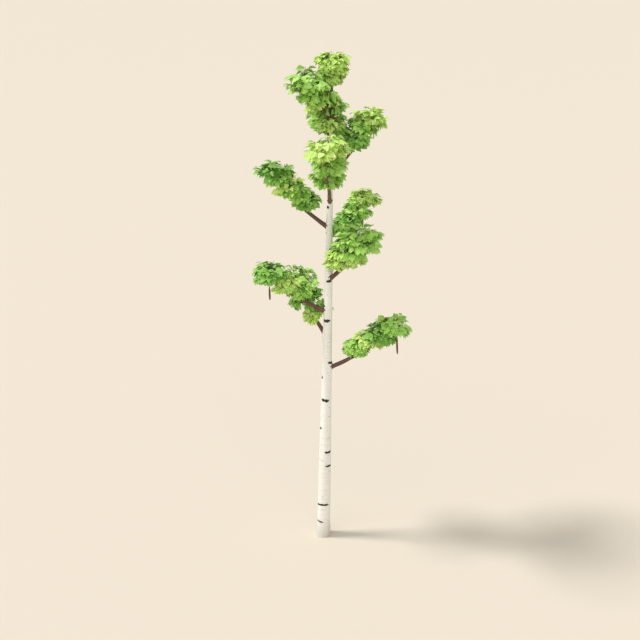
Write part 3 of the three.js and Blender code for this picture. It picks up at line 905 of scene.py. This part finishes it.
def collarShape(z, angle, radius, k):
    # a round swelling where bough k leaves the trunk, and a dark line that falls away on both sides of it
    thick = boughRadius(k, np.array(collar["measuredAt"]))
    slope = collar["slope"] * boughRise[k] / boughReach[k]
    a = turnFrom(boughAzimuth[k], angle) * radius
    b = z - boughHeight[k] - trunkRadius(boughHeight[k]) * slope
    far = a * a + (b * collar["swellHeight"]) ** 2
    swell = collar["swell"] * thick * np.exp(-far / (2 * (collar["swellWidth"] * thick) ** 2))
    fall = b - collar["lineAt"] * thick + collar["lineFall"] * np.abs(a)
    fade = 1 - step(collar["lineFull"] * thick, collar["lineEnd"] * thick, np.abs(a))
    return swell, np.exp(-((fall / collar["lineWidth"]) ** 2)) * fade


def barkRelief(z, angle):
    # radius + lobes + foot ridges + fine skin + scars with raised lips + collars under the boughs + grain
    radius = trunkRadius(z)
    slim = radius / trunkRadius(bark["fullAt"])
    ridges = np.sin(5 * angle + 0.8) * np.abs(np.sin(2 * angle + 0.4))
    high = bark["lobes"] * slim * ripple(angle, z, *bark["lobeWaves"])
    high = high + bark["buttress"] * np.exp(-z / bark["buttressFall"]) * ridges
    high = high + bark["skin"] * slim * ripple(angle, z, *bark["skinWaves"])
    dark = np.zeros_like(high)
    rough = swing(np.arange(high.size) * 0.37 + 5).reshape(high.shape)
    for row in allScars():
        inside, lip = scarShape(z, angle, *row)
        bed = inside * scar["depth"] * (scar["ragged"] * rough - scar["sunk"])
        high = high + slim ** 0.5 * (scar["lip"] * lip + bed)
        dark = np.maximum(dark, inside)
    for k in np.flatnonzero(~isLeader):
        swell, line = collarShape(z, angle, radius, k)
        high = high + swell + line * (collar["lineLift"] + collar["lineRagged"] * rough)
        dark = np.maximum(dark, collar["lineShade"] * line)
    return radius + high + bark["grain"] * slim * rough, dark


def barkFinish():
    # white sheets under stains, lines, pores, a grey foot and a brown top, then the black scars
    finish, wire = newFinish("whiteBark")
    place = wire.objectPlace()
    z = place.axes()[2]
    sheets, stain, fine = [place.cloud(bark[key]) for key in ("sheets", "stain", "fine")]
    pores = place.pores(bark["pores"])
    scarred = (wire.carried("scar") + (fine - 0.5) * bark["black"]["fray"]).step(*bark["black"]["edge"])
    base = sheets.coat(tone(*bark["white"]), bark["sheets"])
    base = stain.coat(base, bark["stain"])
    base = fine.coat(base, bark["fine"])
    base = z.coat(base, dict(bark["foot"], share=mix(*bark["footShare"], stain)))
    base = pores.cover(base, bark["pores"])
    base = (z + (stain - 0.5) * bark["young"]["fray"]).coat(base, bark["young"])
    base = scarred.paint(base, fine.cover(tone(*bark["black"]["colour"]), bark["worn"]))
    rough = mix(*bark["rough"], sheets) + scarred * bark["scarRough"]
    height = weighted(bark["heights"], sheets, fine, pores, scarred)
    closeFinish(wire, base, rough, height, bark["depth"], bark["strength"], bark["gloss"])
    return finish


def addTrunk():
    # centre + radius * (cos a, sin a, 0) at each height, with the radius of the relief
    z = np.linspace(0, trunk["height"], bark["rings"])[:, None]
    radius, dark = barkRelief(z, anglesRound(bark["around"])[None])
    level = np.broadcast_to(upward, (1, bark["rings"], 3))
    shell = tubes(trunkCentre(z[:, 0])[None], radius[None], bark["around"], east[None, None], level)
    columns = bark["mapColumns"]  # lengths of the trunk that lie side by side in the baked map
    justUnder = 0.99999  # a face on the cut between two lengths belongs to the lower one
    column = np.floor(shell["places"][..., 1].mean(1) * columns * justUnder)
    places = shell["places"] * (1, columns) - np.stack((0 * column, column), -1)[:, None]
    bakedMap = cellMap(places, column, columns, margin=bark["mapMargin"])
    foot = np.arange(len(shell["points"])) < bark["around"]
    piece = addPiece(
        "trunk_bark",
        shell,
        [barkFinish()],
        maps={"OFBake": np.clip(bakedMap, 0, 1)},
        values={"scar": np.append(dark.ravel(), (0, 0))},
        crease=foot,
    )
    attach(piece, "root")
    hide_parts("trunk")


addTrunk()

# Curls of loose bark: thin strips that follow the trunk, then roll outwards.
curl = dict(
    count=14, heights=(0.25, 2.2), length=(0.022, 0.042), width=(0.0022, 0.005), narrowing=0.6, flat=0.04,
    attached=0.5, bend=(220, 420), proud=0.0012, drift=0.003,
    rootDepth=0.0022, rootFall=0.08,
    steps=26, sides=8, seed=17,
    cream=(246, 242, 233),
    streak=dict(grain=(30, 30, 260), detail=3.0, edge=(0.3, 0.7), share=1.0, colour=(233, 220, 202)),
    roughness=0.6, depth=0.0005,
)


def curlFinish():  # cream with fine level streaks
    finish, wire = newFinish("barkCurl")
    streak = wire.objectPlace().cloud(curl["streak"])
    base = streak.coat(tone(*curl["cream"]), curl["streak"])
    closeFinish(wire, base, curl["roughness"], streak, curl["depth"])
    return finish


def addCurls():
    # along the trunk for a share of its length, then round an arc of its own that opens outwards
    i = np.arange(curl["count"])[:, None]
    seed = curl["seed"] + i * 2.3
    height = mix(*curl["heights"], (i + chance(seed)) / len(i))
    azimuth = np.radians(360 * chance(seed + 0.5))
    turn = np.where(chance(seed + 0.8) > 0.5, 1, -1)
    length = between(curl["length"], seed + 1.1) * np.sqrt(trunkRadius(height) / trunkRadius(bark["fullAt"]))
    bend = between(curl["bend"], seed + 1.4)
    drift = curl["drift"] * swing(seed + 1.9)
    s = np.linspace(0, 1, curl["steps"])[None]
    radius = trunkRadius(height) + curl["proud"]
    on = np.minimum(s, curl["attached"]) * length
    free = np.maximum(s - curl["attached"], 0) * length
    angle = azimuth + turn * on / radius
    outward = np.stack((np.cos(angle), np.sin(angle), 0 * angle), -1)
    ahead = turn[..., None] * np.stack((-np.sin(angle), np.cos(angle), 0 * angle), -1)
    run = np.sin(free * bend) / bend
    lift = (1 - np.cos(free * bend)) / bend
    sink = curl["rootDepth"] * np.exp(-s / curl["rootFall"])
    path = trunkCentre(np.broadcast_to(height, angle.shape)) + outward * (radius - sink + lift)[..., None]
    path = path + ahead * run[..., None] + upward * (drift * s)[..., None]
    tall = between(curl["width"], seed + 2.2) * (1 - curl["narrowing"] * s ** 2)
    shell = tubes(path, tall, curl["sides"], upward[None, None], None, curl["flat"])
    piece = addPiece("bark_curls", shell, [curlFinish()])
    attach(piece, "root")


addCurls()

# Bark of the boughs: one tapering limb each, from inside the trunk to its tip.
limb = dict(
    rings=170, sides=20, wobble=0.045, wobbleWaves=(6, 20, 110, 33.0),
    wart=0.00045, wartShare=0.05, knot=0.0011, knotWidth=0.006,
    scar=0.0005, scarEvery=0.085, scarFirst=0.03, scarShift=0.01, scarWidth=0.0022,
    brown=(92, 63, 52),
    cloud=dict(grain=(26, 26, 26), detail=4.0, edge=(0.3, 0.72), share=1.0, colour=(118, 86, 70)),
    streak=dict(grain=(70, 70, 160), detail=3.0, edge=(0.5, 0.75), share=0.45, colour=(72, 48, 42)),
    pores=dict(grain=(150, 150, 150), vary=0.3, least=0.0, blur=0.08, share=0.6, colour=(172, 146, 122)),
    rough=(0.44, 0.64), heights=(0.5, 1.0),  # of the streaks and the pores
    depth=0.0008, strength=0.6, gloss=0.45, mapMargin=(0.04, 0.0),
)


def limbFinish():  # cloudy brown with dark streaks and pale pores
    finish, wire = newFinish("brownBark")
    place = wire.objectPlace()
    cloud, streak = place.cloud(limb["cloud"]), place.cloud(limb["streak"])
    pores = place.pores(limb["pores"])
    base = cloud.coat(tone(*limb["brown"]), limb["cloud"])
    base = streak.coat(base, limb["streak"])
    base = pores.cover(base, limb["pores"])
    rough = mix(*limb["rough"], cloud)
    height = weighted(limb["heights"], streak, pores)
    closeFinish(wire, base, rough, height, limb["depth"], limb["strength"], limb["gloss"])
    return finish


def addBoughs():
    # radius of the rule, times a slow wobble, plus small warts, ring scars and knots under the twigs
    count, rings, sides = len(boughRows), limb["rings"], limb["sides"]
    share, k = np.linspace(0, 1, rings), everyBough[..., None]
    distance = share[:, None] * boughLength[:, None, None]
    wobble = ripple(anglesRound(sides) + k, distance, *limb["wobbleWaves"])
    radius = boughRadius(everyBough, share)[..., None] * (1 + limb["wobble"] * wobble)
    draw = chance(np.arange(radius.size).reshape(radius.shape) * 0.61 + 2)
    radius = radius + limb["wart"] * (draw > 1 - limb["wartShare"])
    off = (distance + limb["scarShift"] * k) % limb["scarEvery"] - limb["scarFirst"]
    radius = radius + limb["scar"] * np.exp(-((off / limb["scarWidth"]) ** 2))
    for b in range(count):
        starts = twigs["share"][sprayBough[twigs["spray"]] == b]
        off = (share[:, None] - starts) * boughLength[b]
        radius[b] += limb["knot"] * np.exp(-((off / limb["knotWidth"]) ** 2)).max(1)[:, None]
    shell = tubes(boughPoint(everyBough, share), radius, sides)
    bakedMap = cellMap(shell["places"], shell["tube"], count, margin=limb["mapMargin"])
    piece = addPiece("bough_bark", shell, [limbFinish()], maps={"OFBake": bakedMap})
    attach(piece, "root")
    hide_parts(*limbNodes)


addBoughs()

# Twigs, side shoots and the bud at the end of each.
bud = dict(
    length=0.0075, radius=0.0017, sunk=0.12, ends=(0.04, 0.97), taper=0.75, bluntness=0.8, rings=5, sides=4,
)
rind = dict(
    zigzag=0.0007, zigzagTurn=2.4,
    brown=(96, 62, 48),
    cloud=dict(grain=(3, 9, 1), detail=3.0, edge=(0.35, 0.7), share=1.0, colour=(74, 46, 40)),
    pores=dict(grain=(5, 30, 1), vary=0.0, least=0.22, blur=0.1, share=0.55, colour=(168, 140, 112)),
    rough=(0.42, 0.57), depth=0.0003,
)


def twigFinish():  # the same in small, on the twig's own map
    finish, wire = newFinish("twigBark")
    place = wire.mapPlace("rind")
    cloud, pores = place.cloud(rind["cloud"]), place.pores(rind["pores"])
    base = cloud.coat(tone(*rind["brown"]), rind["cloud"])
    base = pores.cover(base, rind["pores"])
    closeFinish(wire, base, mix(*rind["rough"], cloud), pores, rind["depth"])
    return finish


def addTwigs():
    # a tube on each line that thins to its end, and a pointed bud that carries the line on
    shells = []
    for grown, sizes in ((twigs, twig), (shoots, shoot)):
        share = np.linspace(0, 1, sizes["rings"])
        line = arc(grown["path"][:, None], share)
        zigzag = rind["zigzag"] * np.sin(np.arange(sizes["rings"]) * rind["zigzagTurn"])[:, None]
        line = line + zigzag * unit(np.cross(line[:, -1] - line[:, 0], upward))[:, None]
        radii = mix(sizes["baseRadius"], sizes["tipRadius"], share)
        shells.append(tubes(line, radii, sizes["sides"]))
        t = np.linspace(0, 1, bud["rings"])
        ahead = unit(line[:, -1:] - line[:, -2:-1])
        tip = line[:, -1:] + ahead * (bud["length"] * (t - bud["sunk"]))[:, None]
        radii = bud["radius"] * np.sin(np.pi * np.clip(t, *bud["ends"]) ** bud["taper"]) ** bud["bluntness"]
        shells.append(tubes(tip, radii, bud["sides"]))
    shell = joined(shells)
    maps = {"rind": shell["places"], "OFBake": shell["places"]}
    piece = addPiece("twigs", shell, [twigFinish()], maps=maps)
    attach(piece, "root")
    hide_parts(*massNodes)


addTwigs()

# Catkins: hanging cones of overlapping scales, near the tips of some boughs.
catkin = dict(
    diameter=0.0125, taper=0.7, bluntness=0.4, ends=(0.002, 0.998), core=0.86, thinnest=0.0005,
    stalkRadius=0.0012, sway=0.006, swayTurn=70.0,
    scalesAround=6, scaleHeight=0.0042, scaleDepth=0.0011, scaleSwell=0.8,
    rings=150, sides=30, mapMargin=(0.04, 0.0),
    brown=(92, 64, 48),
    cloud=dict(grain=(420, 420, 420), detail=3.0, edge=(0.3, 0.7), share=1.0, colour=(112, 82, 58)),
    tips=dict(edge=(0.55, 0.95), share=0.7, colour=(150, 118, 80)),
    rough=(0.6, 0.75), depth=0.0003,
    on=[  # bough, length, share along the bough, and how far the lower end hangs down
        ("right_low", 0.130, 0.995, 0.160),
        ("left_mid", 0.086, 0.93, 0.128),
        ("right_back", 0.072, 0.90, 0.128),
        ("front", 0.074, 0.90, 0.128),
        ("top_back", 0.070, 0.90, 0.128),
    ],
)


def catkinFinish():  # brown, and paler at the edge of each scale
    finish, wire = newFinish("catkinScales")
    cloud = wire.objectPlace().cloud(catkin["cloud"])
    base = cloud.coat(tone(*catkin["brown"]), catkin["cloud"])
    base = wire.carried("scaleEdge").coat(base, catkin["tips"])
    closeFinish(wire, base, mix(*catkin["rough"], cloud), cloud, catkin["depth"])
    return finish


def addCatkins():
    # radius = (d / 2) sin(pi s^0.7)^0.4, plus shingles: each scale swells downwards and ends in a step
    paths, radii, edges = [], [], []
    angle = np.arange(catkin["sides"]) / catkin["sides"]
    for i, (name, length, share, drop) in enumerate(catkin["on"]):
        top = boughPoint(boughNames.index(name), np.array(share))
        down = np.linspace(0, drop, catkin["rings"])[:, None]
        stalk = drop - length
        sway = catkin["sway"] * (down / drop) ** 2
        s = np.clip(1 - (down - stalk) / length, *catkin["ends"])
        full = catkin["diameter"] / 2 * np.sin(np.pi * s ** catkin["taper"]) ** catkin["bluntness"]
        row = np.floor(down / catkin["scaleHeight"])
        a = down / catkin["scaleHeight"] - row
        b = (angle * catkin["scalesAround"] + 0.5 * row) % 1
        scale = a ** catkin["scaleSwell"] * np.sqrt(np.clip(1 - (2 * b - 1) ** 2, 0, 1))
        body = full * catkin["core"] + catkin["scaleDepth"] * scale * (full / full.max())
        stem = down < stalk
        paths.append(top - upward * down + compass(np.array(catkin["swayTurn"] * i)) * sway)
        radii.append(np.where(stem, catkin["stalkRadius"], np.maximum(body, catkin["thinnest"])))
        edges.append(np.append(np.where(stem, 0, scale).ravel(), (0, 0)))
    shell = tubes(np.array(paths), np.array(radii), catkin["sides"])
    bakedMap = cellMap(shell["places"], shell["tube"], len(paths), margin=catkin["mapMargin"])
    piece = addPiece(
        "catkins",
        shell,
        [catkinFinish()],
        maps={"OFBake": bakedMap},
        values={"scaleEdge": np.concatenate(edges)},
    )
    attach(piece, "root")
    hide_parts(*["foliage_" + row[0] for row in catkin["on"]])


addCatkins()

# Floor and light: a pale floor, an even sky, a soft sun from the left and a wide fill from the front.
studio = dict(
    floorHalf=1500, floorTone=(225, 215, 199), floorRough=0.9, floorGloss=0.1,
    floorCloud=dict(grain=(0.6, 0.6, 0.6), detail=3.0, share=0.04, colour=(219, 208, 191)),
    skyTone=(252, 252, 251), skyStrength=0.55,
    lights=[
        dict(name="sun", strength=2.0, spread=12, elevation=57, azimuth=178, colour=(1.0, 0.985, 0.955)),
        dict(name="fill", strength=0.75, spread=70, elevation=34, azimuth=250, colour=(1.0, 0.99, 0.97)),
    ],
)


def addStudio():
    half = studio["floorHalf"]
    corners = np.array([(-half, -half, 0), (half, -half, 0), (half, half, 0), (-half, half, 0)], float)
    finish, wire = newFinish("floor")
    cloud = wire.objectPlace().cloud(studio["floorCloud"])
    base = cloud.cover(tone(*studio["floorTone"]), studio["floorCloud"])
    closeFinish(wire, base, studio["floorRough"], gloss=studio["floorGloss"])
    shell = dict(points=corners, faces=np.array([(0, 1, 2), (0, 2, 3)]))
    floor = addPiece("floor", shell, [finish])
    scene = bpy.context.scene
    scene.world = bpy.data.worlds.new("sky")
    scene.world.use_nodes = True
    sky = scene.world.node_tree.nodes["Background"]
    sky.inputs["Color"].default_value = tone(*studio["skyTone"])
    sky.inputs["Strength"].default_value = studio["skyStrength"]
    for light in studio["lights"]:
        data = bpy.data.lights.new(light["name"], "SUN")
        data.energy = light["strength"]
        data.angle = math.radians(light["spread"])
        data.color = light["colour"]
        sun = bpy.data.objects.new(light["name"], data)
        sun.rotation_euler = (0, math.radians(90 - light["elevation"]), math.radians(light["azimuth"]))
        scene.collection.objects.link(sun)
    scene.view_settings.view_transform = "Standard"


addStudio()
print("studio set")
